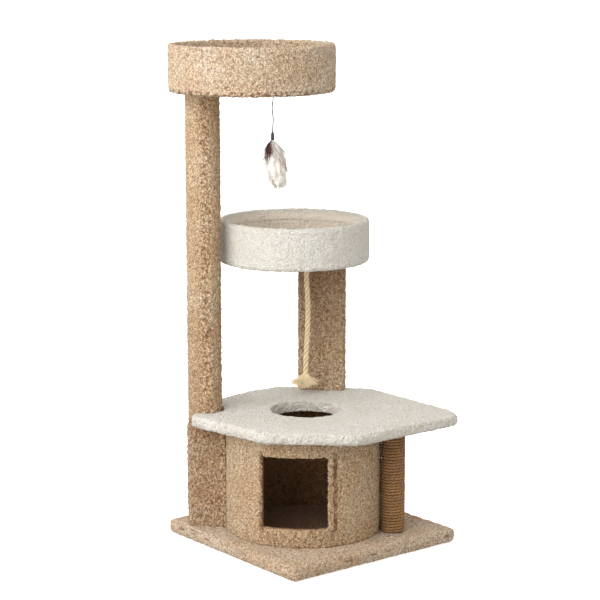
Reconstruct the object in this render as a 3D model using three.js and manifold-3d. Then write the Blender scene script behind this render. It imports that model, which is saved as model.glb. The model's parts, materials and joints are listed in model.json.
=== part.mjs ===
// Carpeted cat tree: a square base with a round house, a shelf, two posts with round trays on top,
// a short sisal scratching post, a hanging fur toy and a hanging rope. Millimetres, +Z up.
// The base is square to X and Y. Everything above it faces the base's +X -Y corner, so it is built in
// a frame turned by 45 degrees, in which +X runs across to the right and -Y towards the front corner.
import * as THREE from 'three';
import { mergeVertices } from 'three/addons/utils/BufferGeometryUtils.js';
import Module from 'manifold-3d';

const wasm = await Module();
wasm.setup();

// Driving dimensions
const gap = 0.3; // between pieces that touch
const baseSide = 508;
const baseHeight = 36;
const basePile = 13; // carpet thickness on the base
const shelfUnderside = 295;
const shelfThickness = 30;
const shelfPile = 8;
const shelfHem = 12; // carpet thickness round the shelf's edge
const shelfHoleRadius = 86;
const houseRadius = 189;
const housePile = 8;
const houseWall = 6;
const houseLining = 6;
const doorWidth = 156;
const doorBottom = 80;
const doorTop = 256;
const tallPostRadius = 42.5;
const postPile = 9;
const lowerPostDepth = 84;
const lowerPostLeft = -300;
const lowerPostRight = -186;
const middlePostSize = { across: 122, deep: 47 };
const sisalPostRadius = 29.5;
const ropeWrapThickness = 6.7;
const topTray = { x: -142, y: -2, radius: 200, height: 113, rimTop: 1213 };
const middleTray = { x: -55, y: 109, radius: 187, height: 106, rimTop: 782 };
const trayPile = 7;
const trayWall = 4;
const trayLining = 7;
const trayBoard = 12;
const trayFold = 30; // how far the outer carpet turns down inside the rim
const screwRadius = 2.6;
const screwHeadRadius = 6;
const screwHeadHeight = 3;
const toyAt = { x: -89, y: -20 };
const ropeAt = { x: -28, y: 150 };
const toyEye = { ring: 4, wire: 1, drop: 9 };
const toyLoop = { ring: 4.2, wire: 0.9 };
const ropeEye = { ring: 7, wire: 1.6, drop: 15.6 };
const ropeLoop = { ring: 7, wire: 3 };
const toyCordRadius = 0.9;
const ropeRadius = 6.7;
const tasselDepthShare = 0.5; // the frayed end is flatter front to back

// Places worked out from them
const baseTop = baseHeight;
const shelfTop = shelfUnderside + shelfThickness;
const houseAt = { x: -16, y: -20 };
const holeAt = { x: -13, y: 8 };
const tallPostAt = { x: -259, y: -21 };
const middlePostAt = { x: 3, y: 225 };
const sisalPostAt = { x: 204.5, y: -36 };
const topTrayUnderside = topTray.rimTop - topTray.height;
const middleTrayUnderside = middleTray.rimTop - middleTray.height;
const notchRadius = tallPostRadius + 4;
const shelfCorners = [
  [-286, -95], [-85, -246], [140, -236], [364, -10], [343, 40],
  [128, 254], [-114, 248], [-190, 180], [-240, 100],
];
const shelfRounding = 22;

const roundSegments = 40;
const postSegments = 28;
const smallSegments = 12;

// Colours
const beige = { color: 0xc9ab84, roughness: 0.95, metalness: 0 };
const tan = { color: 0xab835b, roughness: 0.95, metalness: 0 };
const cream = { color: 0xe6e0d6, roughness: 0.95, metalness: 0 };
const lining = { color: 0xb79a76, roughness: 0.95, metalness: 0 };
const sisal = { color: 0x9b6f45, roughness: 0.9, metalness: 0 };
const straw = { color: 0xe0cfa4, roughness: 0.85, metalness: 0 };
const timber = { color: 0xc8a470, roughness: 0.8, metalness: 0 };
const fibreboard = { color: 0x8a6a48, roughness: 0.9, metalness: 0 };
const steel = { color: 0xa8abae, roughness: 0.35, metalness: 1 };
const blackCord = { color: 0x2b2b2d, roughness: 0.7, metalness: 0 };
const fur = { color: 0xe9e4dc, roughness: 0.95, metalness: 0 };

const towerFrame = new THREE.Group();
towerFrame.rotation.z = Math.PI / 4;
const catTree = new THREE.Group();
catTree.add(towerFrame);

// A closed geometry with shared corners, turned right side out, as a solid
function solidFrom(geometry) {
  geometry.deleteAttribute('normal');
  geometry.deleteAttribute('uv');
  const merged = mergeVertices(geometry, 1e-4);
  const corners = new Float32Array(merged.attributes.position.array);
  const faces = new Uint32Array(merged.index.array);
  const a = new THREE.Vector3();
  const b = new THREE.Vector3();
  const c = new THREE.Vector3();
  let volume = 0;
  for (let i = 0; i < faces.length; i += 3) {
    a.fromArray(corners, faces[i] * 3);
    b.fromArray(corners, faces[i + 1] * 3);
    c.fromArray(corners, faces[i + 2] * 3);
    volume += a.dot(b.cross(c));
  }
  if (volume < 0) {
    for (let i = 0; i < faces.length; i += 3) {
      [faces[i + 1], faces[i + 2]] = [faces[i + 2], faces[i + 1]];
    }
  }
  return new wasm.Manifold(new wasm.Mesh({ numProp: 3, vertProperties: corners, triVerts: faces }));
}

function addPiece(parent, name, solid, finish) {
  const mesh = solid.getMesh();
  const geometry = new THREE.BufferGeometry();
  geometry.setAttribute('position', new THREE.BufferAttribute(new Float32Array(mesh.vertProperties), 3));
  geometry.setIndex(new THREE.BufferAttribute(new Uint32Array(mesh.triVerts), 1));
  geometry.computeVertexNormals();
  const piece = new THREE.Mesh(geometry, new THREE.MeshStandardMaterial(finish));
  piece.name = name;
  parent.add(piece);
}

// A profile of [radius, height] points turned about a vertical axis through the given place,
// reshaped on the way when a matrix is given
function turned(profile, at, segments, reshape = new THREE.Matrix4()) {
  const points = profile.map(([radius, height]) => new THREE.Vector2(radius, height));
  const geometry = new THREE.LatheGeometry(points, segments);
  geometry.rotateX(Math.PI / 2);
  geometry.applyMatrix4(reshape);
  geometry.translate(at.x, at.y, 0);
  return solidFrom(geometry);
}

function rod(at, radius, bottom, top, segments = postSegments) {
  return turned([[0, bottom], [radius, bottom], [radius, top], [0, top]], at, segments);
}

function tube(at, inner, outer, bottom, top, segments = postSegments) {
  const profile = [[inner, bottom], [outer, bottom], [outer, top], [inner, top], [inner, bottom]];
  return turned(profile, at, segments);
}

function block(left, right, front, back, bottom, top) {
  const geometry = new THREE.BoxGeometry(right - left, back - front, top - bottom);
  geometry.translate((left + right) / 2, (front + back) / 2, (bottom + top) / 2);
  return solidFrom(geometry);
}

// The point where a corner's rounding begins on the side that leads to its neighbour
function cutBack(corner, neighbour, rounding) {
  const side = corner.distanceTo(neighbour);
  return corner.clone().lerp(neighbour, Math.min(rounding, side * 0.45) / side);
}

// An outline through the corners, each corner cut back by the rounding and curved
function roundedOutline(corners, rounding) {
  const shape = new THREE.Shape();
  corners.forEach((corner, i) => {
    const here = new THREE.Vector2(...corner);
    const before = new THREE.Vector2(...corners[(i + corners.length - 1) % corners.length]);
    const after = new THREE.Vector2(...corners[(i + 1) % corners.length]);
    const start = cutBack(here, before, rounding);
    const end = cutBack(here, after, rounding);
    if (i === 0) shape.moveTo(start.x, start.y);
    else shape.lineTo(start.x, start.y);
    shape.quadraticCurveTo(here.x, here.y, end.x, end.y);
  });
  shape.closePath();
  return shape;
}

// Moves each side of a convex outline inwards by the same distance
function insetCorners(corners, distance) {
  return corners.map((corner, i) => {
    const here = new THREE.Vector2(...corner);
    const toBefore = new THREE.Vector2(...corners[(i + corners.length - 1) % corners.length]).sub(here);
    const toAfter = new THREE.Vector2(...corners[(i + 1) % corners.length]).sub(here);
    const halfAngle = toBefore.angleTo(toAfter) / 2;
    const inwards = toBefore.normalize().add(toAfter.normalize()).setLength(distance / Math.sin(halfAngle));
    return here.add(inwards).toArray();
  });
}

// A flat slab on an outline, its top and bottom edges rounded off by edge
function slab(shape, bottom, top, edge) {
  const geometry = new THREE.ExtrudeGeometry(shape, {
    depth: top - bottom - 2 * edge,
    curveSegments: 4,
    bevelEnabled: edge > 0,
    bevelThickness: edge,
    bevelSize: edge,
    bevelOffset: -edge,
    bevelSegments: 2,
  });
  geometry.translate(0, 0, bottom + edge);
  return solidFrom(geometry);
}

function rectangleCorners(left, right, front, back) {
  return [[left, front], [right, front], [right, back], [left, back]];
}

function roundedPost(left, right, front, back, rounding, bottom, top) {
  return slab(roundedOutline(rectangleCorners(left, right, front, back), rounding), bottom, top, 0);
}

// A countersunk wood screw that points along +Z when up is true, else along -Z, and the hole it needs
function screwSolid(at, head, tip, clearance) {
  const way = Math.sign(tip - head);
  const profile = [
    [0, head - way * clearance],
    [screwHeadRadius + clearance, head - way * clearance],
    [screwHeadRadius + clearance, head + way * clearance],
    [screwRadius + clearance, head + way * (screwHeadHeight + clearance)],
    [screwRadius + clearance, tip + way * clearance],
    [0, tip + way * clearance],
  ];
  return turned(profile, at, smallSegments);
}

const pieces = new Map(); // name -> [solid, finish]
const keep = (name, solid, finish) => pieces.set(name, [solid, finish]);

function driveScrew(name, at, head, tip, through) {
  const hole = screwSolid(at, head, tip, gap);
  for (const node of through) {
    const [solid, finish] = pieces.get(node);
    pieces.set(node, [solid.subtract(hole), finish]);
  }
  keep(name, screwSolid(at, head, tip, 0), steel);
}

// A corner along the base's sides, seen in the tower's frame
function turnedCorner(x, y) {
  return new THREE.Vector2(x, y).rotateAround(new THREE.Vector2(), -Math.PI / 4);
}

// Base: a timber board with carpet over its top and sides
function makeBase() {
  const half = baseSide / 2;
  const boardHalf = half - basePile;
  const boardTop = baseHeight - basePile;
  const rounding = 14;
  const edge = 10;
  const square = (side) => rectangleCorners(-side, side, -side, side).map(([x, y]) => turnedCorner(x, y));
  const outline = roundedOutline(square(half), rounding);
  const pocket = slab(new THREE.Shape(square(boardHalf + gap)), -baseHeight, boardTop + gap, 0);
  keep('base_carpet', slab(outline, 0, baseHeight, edge).subtract(pocket), beige);
  keep('base_board', slab(new THREE.Shape(square(boardHalf)), 0, boardTop, 0), timber);
}

// House: a fibreboard drum, carpeted outside and in, with a square doorway at the front
function makeHouse() {
  const bottom = baseTop + gap;
  const top = shelfUnderside - gap;
  const wallOuter = houseRadius - housePile;
  const wallInner = wallOuter - houseWall;
  const liningInner = wallInner - houseLining;
  const door = (margin) => {
    const half = doorWidth / 2 + margin;
    const front = houseAt.y - houseRadius - 10;
    return block(houseAt.x - half, houseAt.x + half, front, houseAt.y, doorBottom - margin, doorTop + margin);
  };
  const outer = tube(houseAt, wallOuter + gap, houseRadius, bottom, top, roundSegments);
  const wall = tube(houseAt, wallInner, wallOuter, bottom, top, roundSegments);
  const inner = tube(houseAt, liningInner, wallInner - gap, bottom, top, roundSegments);
  keep('house_outer_carpet', outer.subtract(door(0)), beige);
  keep('house_wall', wall.subtract(door(0)), fibreboard);
  keep('house_lining', inner.subtract(door(0)), lining);
}

// Shelf: a board with a round hole, wrapped in cream carpet, notched for the tall post
function makeShelf() {
  const top = shelfTop;
  const bottom = shelfUnderside;
  const edge = 9;
  const deep = 200;
  const whole = slab(roundedOutline(shelfCorners, shelfRounding), bottom, top, edge);
  const hole = rod(holeAt, shelfHoleRadius, bottom - deep, top + deep, roundSegments);
  const notch = rod(tallPostAt, notchRadius, bottom - deep, top + deep);
  const hemmedHole = rod(holeAt, shelfHoleRadius + shelfPile, bottom - deep, top + deep, roundSegments);
  const hemmedNotch = rod(tallPostAt, notchRadius + shelfPile, bottom - deep, top + deep);
  const board = (margin, low, high) => {
    const outline = roundedOutline(insetCorners(shelfCorners, shelfHem - margin), shelfRounding);
    return slab(outline, low, high, 0);
  };
  const pocketHole = rod(holeAt, shelfHoleRadius + shelfPile - gap, bottom - deep, top + deep, roundSegments);
  const pocketNotch = rod(tallPostAt, notchRadius + shelfPile - gap, bottom - deep, top + deep);
  const pocket = board(gap, bottom - deep, top - shelfPile).subtract(pocketHole).subtract(pocketNotch);
  const carpet = whole.subtract(hole).subtract(notch).subtract(pocket);
  const core = board(0, bottom + shelfPile, top - shelfPile - gap);
  const under = board(0, bottom, bottom + shelfPile - gap);
  keep('shelf_carpet', carpet, cream);
  keep('shelf_board', core.subtract(hemmedHole).subtract(hemmedNotch), timber);
  keep('shelf_under_carpet', under.subtract(hemmedHole).subtract(hemmedNotch), cream);
}

// Posts that carry the shelf and the trays
function makePosts() {
  const front = tallPostAt.y - lowerPostDepth / 2;
  const back = tallPostAt.y + lowerPostDepth / 2;
  const low = baseTop + gap;
  const high = shelfUnderside - gap;
  const rounding = 14;
  const againstHouse = rod(houseAt, houseRadius + gap, 0, shelfTop, roundSegments);
  const coreLeft = lowerPostLeft + postPile;
  const coreRight = -215;
  const lowerShape = roundedPost(lowerPostLeft, lowerPostRight, front, back, rounding, low, high);
  const lowerCore = (margin) => block(coreLeft - margin, coreRight + margin, front + postPile - margin,
    back - postPile + margin, low - margin, high + margin);
  keep('lower_post_core', lowerCore(0), timber);
  keep('lower_post_carpet', lowerShape.subtract(lowerCore(gap)).subtract(againstHouse), tan);

  const tallLow = shelfUnderside;
  const tallHigh = topTrayUnderside - gap;
  const tallCoreRadius = tallPostRadius - postPile;
  keep('tall_post_core', rod(tallPostAt, tallCoreRadius, tallLow, tallHigh), timber);
  keep('tall_post_carpet', tube(tallPostAt, tallCoreRadius + gap, tallPostRadius, tallLow, tallHigh), tan);

  const halfAcross = middlePostSize.across / 2;
  const halfDeep = middlePostSize.deep / 2;
  const middleLow = shelfTop + gap;
  const middleHigh = middleTrayUnderside - gap;
  const middleCore = (margin) => block(
    middlePostAt.x - halfAcross + postPile - margin, middlePostAt.x + halfAcross - postPile + margin,
    middlePostAt.y - halfDeep + postPile - margin, middlePostAt.y + halfDeep - postPile + margin,
    middleLow - margin, middleHigh + margin);
  const middleShape = roundedPost(middlePostAt.x - halfAcross, middlePostAt.x + halfAcross,
    middlePostAt.y - halfDeep, middlePostAt.y + halfDeep, rounding, middleLow, middleHigh);
  keep('middle_post_core', middleCore(0), timber);
  keep('middle_post_carpet', middleShape.subtract(middleCore(gap)), tan);

  const sisalCore = sisalPostRadius - ropeWrapThickness;
  keep('sisal_post_core', rod(sisalPostAt, sisalCore, low, high), timber);
  keep('sisal_wrap', tube(sisalPostAt, sisalCore + gap, sisalPostRadius, low + 1, high - 1), sisal);
}

// Tray: a board and a ring wall inside a carpet cup that folds over the rim, and a carpet lining
function makeTray(name, tray, outerFinish, liningFinish) {
  const r = tray.radius;
  const z0 = tray.rimTop - tray.height;
  const z1 = tray.rimTop;
  const wallOuter = r - trayPile;
  const wallInner = wallOuter - trayWall;
  const liningInner = wallInner - trayLining;
  const boardTop = z0 + trayPile + gap + trayBoard;
  const edge = 8;
  const outer = [
    [0, z0], [r - edge, z0], [r - edge * 0.3, z0 + edge * 0.3], [r, z0 + edge],
    [r, z1 - edge], [r - edge * 0.3, z1 - edge * 0.3], [r - edge, z1],
    [liningInner + edge, z1], [liningInner + edge * 0.3, z1 - edge * 0.3], [liningInner, z1 - edge],
    [liningInner, z1 - trayFold], [wallInner - gap, z1 - trayFold],
    [wallInner - gap, z1 - trayPile], [wallOuter + gap, z1 - trayPile],
    [wallOuter + gap, z0 + trayPile], [0, z0 + trayPile],
  ];
  const inside = [
    [0, boardTop + gap], [wallInner - gap, boardTop + gap], [wallInner - gap, z1 - trayFold - gap],
    [liningInner, z1 - trayFold - gap], [liningInner, boardTop + trayLining + edge],
    [liningInner - edge, boardTop + trayLining], [0, boardTop + trayLining],
  ];
  const wallBottom = z0 + trayPile + gap;
  keep(`${name}_carpet`, turned(outer, tray, roundSegments), outerFinish);
  const wallTop = z1 - trayPile - gap;
  keep(`${name}_wall`, tube(tray, wallInner, wallOuter, wallBottom, wallTop, roundSegments), fibreboard);
  keep(`${name}_floor`, rod(tray, wallInner - gap, wallBottom, boardTop, roundSegments), timber);
  keep(`${name}_lining`, turned(inside, tray, roundSegments), liningFinish);
}

// Screws that hold it together, each sunk flush in the board it passes through
function makeScrews() {
  const belowShelf = shelfUnderside + shelfPile;
  const reach = 45;
  for (const [i, offset] of [-18, 18].entries()) {
    const n = i + 1;
    const foot = { x: tallPostAt.x + 5, y: tallPostAt.y + offset };
    driveScrew(`foot_screw_${n}`, foot, 0, baseTop + reach, ['base_board', 'base_carpet', 'lower_post_core']);
    const middle = { x: middlePostAt.x + offset * 1.6, y: middlePostAt.y - 3 };
    driveScrew(`shelf_screw_${n}`, middle, belowShelf, shelfTop + reach,
      ['shelf_board', 'shelf_carpet', 'middle_post_core']);
    const middleTrayFloor = middleTrayUnderside + trayPile + gap + trayBoard;
    driveScrew(`middle_tray_screw_${n}`, middle, middleTrayFloor, middleTrayUnderside - reach,
      ['middle_tray_floor', 'middle_tray_carpet', 'middle_post_core']);
    const topTrayFloor = topTrayUnderside + trayPile + gap + trayBoard;
    const top = { x: tallPostAt.x + offset * 0.9, y: tallPostAt.y };
    driveScrew(`top_tray_screw_${n}`, top, topTrayFloor, topTrayUnderside - reach,
      ['top_tray_floor', 'top_tray_carpet', 'tall_post_core']);
  }
  driveScrew('sisal_foot_screw', sisalPostAt, 0, baseTop + reach,
    ['base_board', 'base_carpet', 'sisal_post_core']);
  driveScrew('sisal_top_screw', sisalPostAt, shelfTop - shelfPile - gap, shelfUnderside - reach,
    ['shelf_board', 'shelf_under_carpet', 'sisal_post_core']);
}

// A dowel that joins the tall post to the lower post it stands on
function makeDowel() {
  const radius = 9;
  const reach = 40;
  const hole = rod(tallPostAt, radius + gap, shelfUnderside - reach - gap, shelfUnderside + reach + gap, 20);
  for (const node of ['lower_post_core', 'tall_post_core']) {
    const [solid, finish] = pieces.get(node);
    pieces.set(node, [solid.subtract(hole), finish]);
  }
  keep('post_dowel', rod(tallPostAt, radius, shelfUnderside - reach, shelfUnderside + reach, 20), timber);
}

function torus(ring, wire, at, z, quarterTurn) {
  const geometry = new THREE.TorusGeometry(ring, wire, 6, 16);
  geometry.rotateX(Math.PI / 2);
  if (quarterTurn) geometry.rotateZ(Math.PI / 2);
  geometry.translate(at.x, at.y, z);
  return solidFrom(geometry);
}

// A screw eye in a tray's floor, its ring below the carpet and square to the front
function screwEye(name, eye, at, underside, trayName) {
  const ringCentre = underside - eye.drop + eye.ring;
  const shankTop = underside + trayPile + gap + trayBoard - 2;
  const shankBottom = ringCentre + eye.ring;
  const shank = rod(at, eye.wire, shankBottom, shankTop, smallSegments);
  const hole = rod(at, eye.wire + gap, shankBottom, shankTop + gap, smallSegments);
  for (const node of [`${trayName}_floor`, `${trayName}_carpet`]) {
    const [solid, finish] = pieces.get(node);
    pieces.set(node, [solid.subtract(hole), finish]);
  }
  keep(name, torus(eye.ring, eye.wire, at, ringCentre, false).add(shank), steel);
}

// A loop through the eye, clear of its wire, and the height at which the cord below it begins
function hangingLoop(name, eye, loop, at, underside, finish) {
  const topWire = underside - eye.drop + eye.wire + gap + loop.wire;
  const centre = topWire - loop.ring;
  keep(name, torus(loop.ring, loop.wire, at, centre, true), finish);
  return centre - loop.ring - loop.wire - gap;
}

// A cord along hand-set sideways offsets, evenly spaced down its height
function cordTube(at, top, bottom, offsets, radius, sides, steps) {
  const points = offsets.map(([dx, dy], i) => {
    const z = top + (bottom - top) * i / (offsets.length - 1);
    return new THREE.Vector3(at.x + dx, at.y + dy, z);
  });
  const section = new THREE.Shape();
  for (let i = 0; i < sides; i += 1) {
    const angle = 2 * Math.PI * i / sides;
    const corner = [radius * Math.cos(angle), radius * Math.sin(angle)];
    if (i === 0) section.moveTo(...corner);
    else section.lineTo(...corner);
  }
  section.closePath();
  const path = new THREE.CatmullRomCurve3(points);
  return solidFrom(new THREE.ExtrudeGeometry(section, { steps, extrudePath: path, bevelEnabled: false }));
}

function makeToy() {
  const cordBottom = topTrayUnderside - 94.5;
  const ferruleLength = 19;
  const tuftLength = 115;
  const tuftLean = 14; // how far its tip hangs to the right of its top
  const sway = [
    [0, 0], [-0.6, 0], [-1.5, 0.1], [-2.2, 0.2], [-2.5, 0.2], [-2.3, 0.2], [-1.7, 0.1], [-1, 0],
    [-0.4, 0], [0, 0], [0, 0], [-0.3, 0], [-0.7, 0], [-1.1, 0], [-1.4, 0], [-1.5, 0],
  ];
  screwEye('toy_eye', toyEye, toyAt, topTrayUnderside, 'top_tray');
  const cordTop = hangingLoop('toy_loop', toyEye, toyLoop, toyAt, topTrayUnderside, blackCord);
  keep('toy_cord', cordTube(toyAt, cordTop, cordBottom, sway, toyCordRadius, 8, 20), blackCord);
  const end = { x: toyAt.x + sway.at(-1)[0], y: toyAt.y };
  const z1 = cordBottom - gap;
  const z0 = z1 - ferruleLength;
  const ferrule = [[0, z0], [3.6, z0], [4.7, z0 + 3], [4.3, z1 - 6], [2.2, z1], [0, z1]];
  keep('toy_ferrule', turned(ferrule, end, 16), blackCord);
  const t1 = z0 - gap;
  const t0 = t1 - tuftLength;
  const tuft = [
    [0, t0], [14, t0], [24, t0 + 10], [28.5, t0 + 31], [31, t0 + 60],
    [28, t0 + 80], [20, t0 + 101], [5, t1], [0, t1],
  ];
  const slope = -tuftLean / tuftLength;
  const lean = new THREE.Matrix4().set(1, 0, slope, -slope * t1, 0, 1, 0, 0, 0, 0, 1, 0, 0, 0, 0, 1);
  keep('toy_tuft', turned(tuft, end, 16, lean), fur);
}

function makeRope() {
  const tasselTop = shelfTop + 53;
  const tasselBottom = shelfTop + 13;
  const bow = [
    [0, 0], [0, 0], [0.6, 0], [1.5, 0], [2.4, 0], [3.1, 0], [3.5, 0], [3.6, 0], [3.4, 0],
    [3, 0], [2.3, 0], [1.5, 0], [0.6, 0], [-0.3, 0], [-1.1, 0], [-1.6, 0], [-1.8, 0], [-1.8, 0],
  ];
  screwEye('rope_eye', ropeEye, ropeAt, middleTrayUnderside, 'middle_tray');
  const ropeTop = hangingLoop('rope_loop', ropeEye, ropeLoop, ropeAt, middleTrayUnderside, straw);
  const ropeBottom = tasselTop + gap;
  keep('rope', cordTube(ropeAt, ropeTop, ropeBottom, bow, ropeRadius, 12, 18), straw);
  const end = { x: ropeAt.x + bow.at(-1)[0] - 5, y: ropeAt.y };
  const tassel = [
    [0, tasselBottom], [22, tasselBottom], [34, tasselBottom + 8], [26, tasselBottom + 20],
    [13, tasselTop - 3], [11, tasselTop], [0, tasselTop],
  ];
  const flatten = new THREE.Matrix4().makeScale(1, tasselDepthShare, 1);
  keep('rope_tassel', turned(tassel, end, 16, flatten), straw);
}

makeBase();
makeHouse();
makeShelf();
makePosts();
makeTray('top_tray', topTray, beige, beige);
makeTray('middle_tray', middleTray, cream, beige);
makeDowel();
makeScrews();
makeToy();
makeRope();
for (const [name, [solid, finish]] of pieces) addPiece(towerFrame, name, solid, finish);

export default catTree;
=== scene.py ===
# Carpeted cat tree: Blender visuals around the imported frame, in metres, +Z up
import json
import math
import random

import bpy
import numpy as np
from mathutils import Matrix, Vector, noise
from mathutils.bvhtree import BVHTree

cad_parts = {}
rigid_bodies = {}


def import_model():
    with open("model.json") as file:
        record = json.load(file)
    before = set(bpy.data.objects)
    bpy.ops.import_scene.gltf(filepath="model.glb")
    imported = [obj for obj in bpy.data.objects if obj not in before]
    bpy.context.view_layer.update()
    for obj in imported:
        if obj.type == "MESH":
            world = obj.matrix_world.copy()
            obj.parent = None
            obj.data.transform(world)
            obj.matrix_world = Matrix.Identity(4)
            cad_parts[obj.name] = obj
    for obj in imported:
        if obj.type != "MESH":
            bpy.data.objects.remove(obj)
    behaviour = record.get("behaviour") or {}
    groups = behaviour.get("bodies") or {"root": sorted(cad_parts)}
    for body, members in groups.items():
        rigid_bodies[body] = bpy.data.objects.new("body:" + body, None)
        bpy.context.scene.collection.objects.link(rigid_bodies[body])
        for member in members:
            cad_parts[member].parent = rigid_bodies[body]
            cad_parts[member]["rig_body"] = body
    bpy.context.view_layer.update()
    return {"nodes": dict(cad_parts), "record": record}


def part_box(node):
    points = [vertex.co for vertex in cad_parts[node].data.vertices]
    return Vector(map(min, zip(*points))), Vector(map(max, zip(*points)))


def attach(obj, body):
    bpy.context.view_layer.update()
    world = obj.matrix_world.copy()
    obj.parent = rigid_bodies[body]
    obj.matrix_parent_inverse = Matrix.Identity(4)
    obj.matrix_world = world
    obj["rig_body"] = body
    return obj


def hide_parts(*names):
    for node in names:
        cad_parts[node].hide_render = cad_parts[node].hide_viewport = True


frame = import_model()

towerTurn = Matrix.Rotation(math.radians(45), 4, "Z")  # the tower stands at 45 degrees to the base's sides
millimetre = 0.001  # the cords' sways and the fur's widths are given in millimetres

# where the camera stands, and its lens
camera = {
    "azimuth": 51.55,  # degrees round from looking along +Y
    "pitch": 10.54,  # degrees below level
    "distance": 4.621,
    "sideways": -0.027,
    "height": 1.457,
    "lens": 116.46,
    "sensor": 36,
}


def addCamera():
    azimuth = math.radians(camera["azimuth"])
    pitch = math.radians(camera["pitch"])
    ahead = Vector((-math.sin(azimuth), math.cos(azimuth), 0))
    right = Vector((math.cos(azimuth), math.sin(azimuth), 0))
    looking = ahead * math.cos(pitch) - Vector((0, 0, math.sin(pitch)))
    eye = bpy.data.objects.new("camera", bpy.data.cameras.new("camera"))
    bpy.context.scene.collection.objects.link(eye)
    eye.data.lens = camera["lens"]
    eye.data.sensor_width = camera["sensor"]
    eye.location = right * camera["sideways"] - ahead * camera["distance"] + Vector((0, 0, camera["height"]))
    eye.rotation_euler = looking.to_track_quat("-Z", "Y").to_euler()
    bpy.context.scene.camera = eye
    print("camera placed")


def link(piece):
    bpy.context.scene.collection.objects.link(piece)
    return piece


def meshPiece(name, points, faces):
    mesh = bpy.data.meshes.new(name)
    mesh.from_pydata([tuple(p) for p in points], [], faces)
    mesh.shade_smooth()
    return link(bpy.data.objects.new(name, mesh))


def storeShares(mesh, name, shares):
    mesh.attributes.new(name, "FLOAT", "POINT").data.foreach_set("value", shares)


def finish(piece, material, body, slotName, *nodes):
    piece.data.materials.clear()
    piece.data.materials.append(material)
    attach(piece, body)
    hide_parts(*nodes)
    return piece


def sweep(points, faces, line, radii, sides, bulge=None):
    # one closed tube along the line, added to points and faces
    first = len(points)
    last = len(line) - 1
    side = Vector((1, 0, 0))
    if abs((line[1] - line[0]).normalized().x) > 0.8:  # the line starts nearly along X
        side = Vector((0, 1, 0))
    for i, centre in enumerate(line):
        along = (line[min(i + 1, last)] - line[max(i - 1, 0)]).normalized()
        side = (side - along * side.dot(along)).normalized()
        other = along.cross(side)
        for k in range(sides):
            angle = 2 * math.pi * k / sides
            radius = radii[i] * (bulge(i, angle) if bulge else 1)
            points.append(centre + side * (math.cos(angle) * radius) + other * (math.sin(angle) * radius))
    for i in range(last):
        low = first + i * sides
        for k in range(sides):
            after = (k + 1) % sides
            faces.append((low + k, low + after, low + sides + after, low + sides + k))
    faces.append(tuple(range(first + sides - 1, first - 1, -1)))
    top = first + last * sides
    faces.append(tuple(range(top, top + sides)))


def smoothLine(points, count):
    # evenly shared points on a smooth curve through the given ones
    line = []
    last = len(points) - 1
    for n in range(count):
        share = n / (count - 1) * last
        i = min(int(share), last - 1)
        t = share - i
        a = points[max(i - 1, 0)]
        b = points[i]
        c = points[i + 1]
        d = points[min(i + 2, last)]
        line.append(0.5 * (2 * b + (c - a) * t + (2 * a - 5 * b + 4 * c - d) * t ** 2
                           + (3 * b - a - 3 * c + d) * t ** 3))
    return line


def middleOf(node):
    low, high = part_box(node)
    return (low + high) / 2


towerBoxes = {}


def towerBox(node):
    # a node's lowest and highest corners along the tower's own directions
    if node in towerBoxes:
        return towerBoxes[node]
    corners = np.array([v.co for v in frame["nodes"][node].data.vertices]) @ np.array(towerTurn.to_3x3())
    towerBoxes[node] = Vector(corners.min(0)), Vector(corners.max(0))
    return towerBoxes[node]


def newMaterial(name, roughness, sheen=0.0, metallic=0.0):
    material = bpy.data.materials.new(name)
    material.use_nodes = True
    shader = material.node_tree.nodes["Principled BSDF"]
    shader.inputs["Roughness"].default_value = roughness
    shader.inputs["Sheen Weight"].default_value = sheen
    shader.inputs["Metallic"].default_value = metallic
    return material


def addNode(material, kind, values=None, **settings):
    added = material.node_tree.nodes.new(kind)
    for key, value in settings.items():
        setattr(added, key, value)
    for socket, value in (values or {}).items():
        if isinstance(value, bpy.types.NodeSocket):
            material.node_tree.links.new(value, added.inputs[socket])
        else:
            added.inputs[socket].default_value = value
    return added


def rgba(colour):
    return (*colour, 1)


def places(material, stretch=(1, 1, 1)):
    spot = addNode(material, "ShaderNodeTexCoord").outputs["Object"]
    return addNode(material, "ShaderNodeMapping", {0: spot, 3: stretch}).outputs[0]


def spread(material, value, low, high, toLow=0.0, toHigh=1.0):
    values = {0: value, 1: low, 2: high, 3: toLow, 4: toHigh}
    return addNode(material, "ShaderNodeMapRange", values).outputs[0]


def speckle(material, spot, scale, low=0.35, high=0.65, detail=2):
    texture = addNode(material, "ShaderNodeTexNoise", {"Vector": spot, "Scale": scale, "Detail": detail})
    return spread(material, texture.outputs[0], low, high)


def mixed(material, share, first, second, blend="MIX"):
    values = {0: share, 6: first, 7: second}
    return addNode(material, "ShaderNodeMix", values, data_type="RGBA", blend_type=blend).outputs[2]


def calculated(material, operation, first, second):
    return addNode(material, "ShaderNodeMath", {0: first, 1: second}, operation=operation).outputs[0]


def paint(material, colour, height=None, depth=0.001, strength=0.5):
    shader = material.node_tree.nodes["Principled BSDF"]
    material.node_tree.links.new(colour, shader.inputs["Base Color"])
    if height is not None:
        values = {"Height": height, "Strength": strength, "Distance": depth}
        bump = addNode(material, "ShaderNodeBump", values)
        material.node_tree.links.new(bump.outputs[0], shader.inputs["Normal"])


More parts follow.
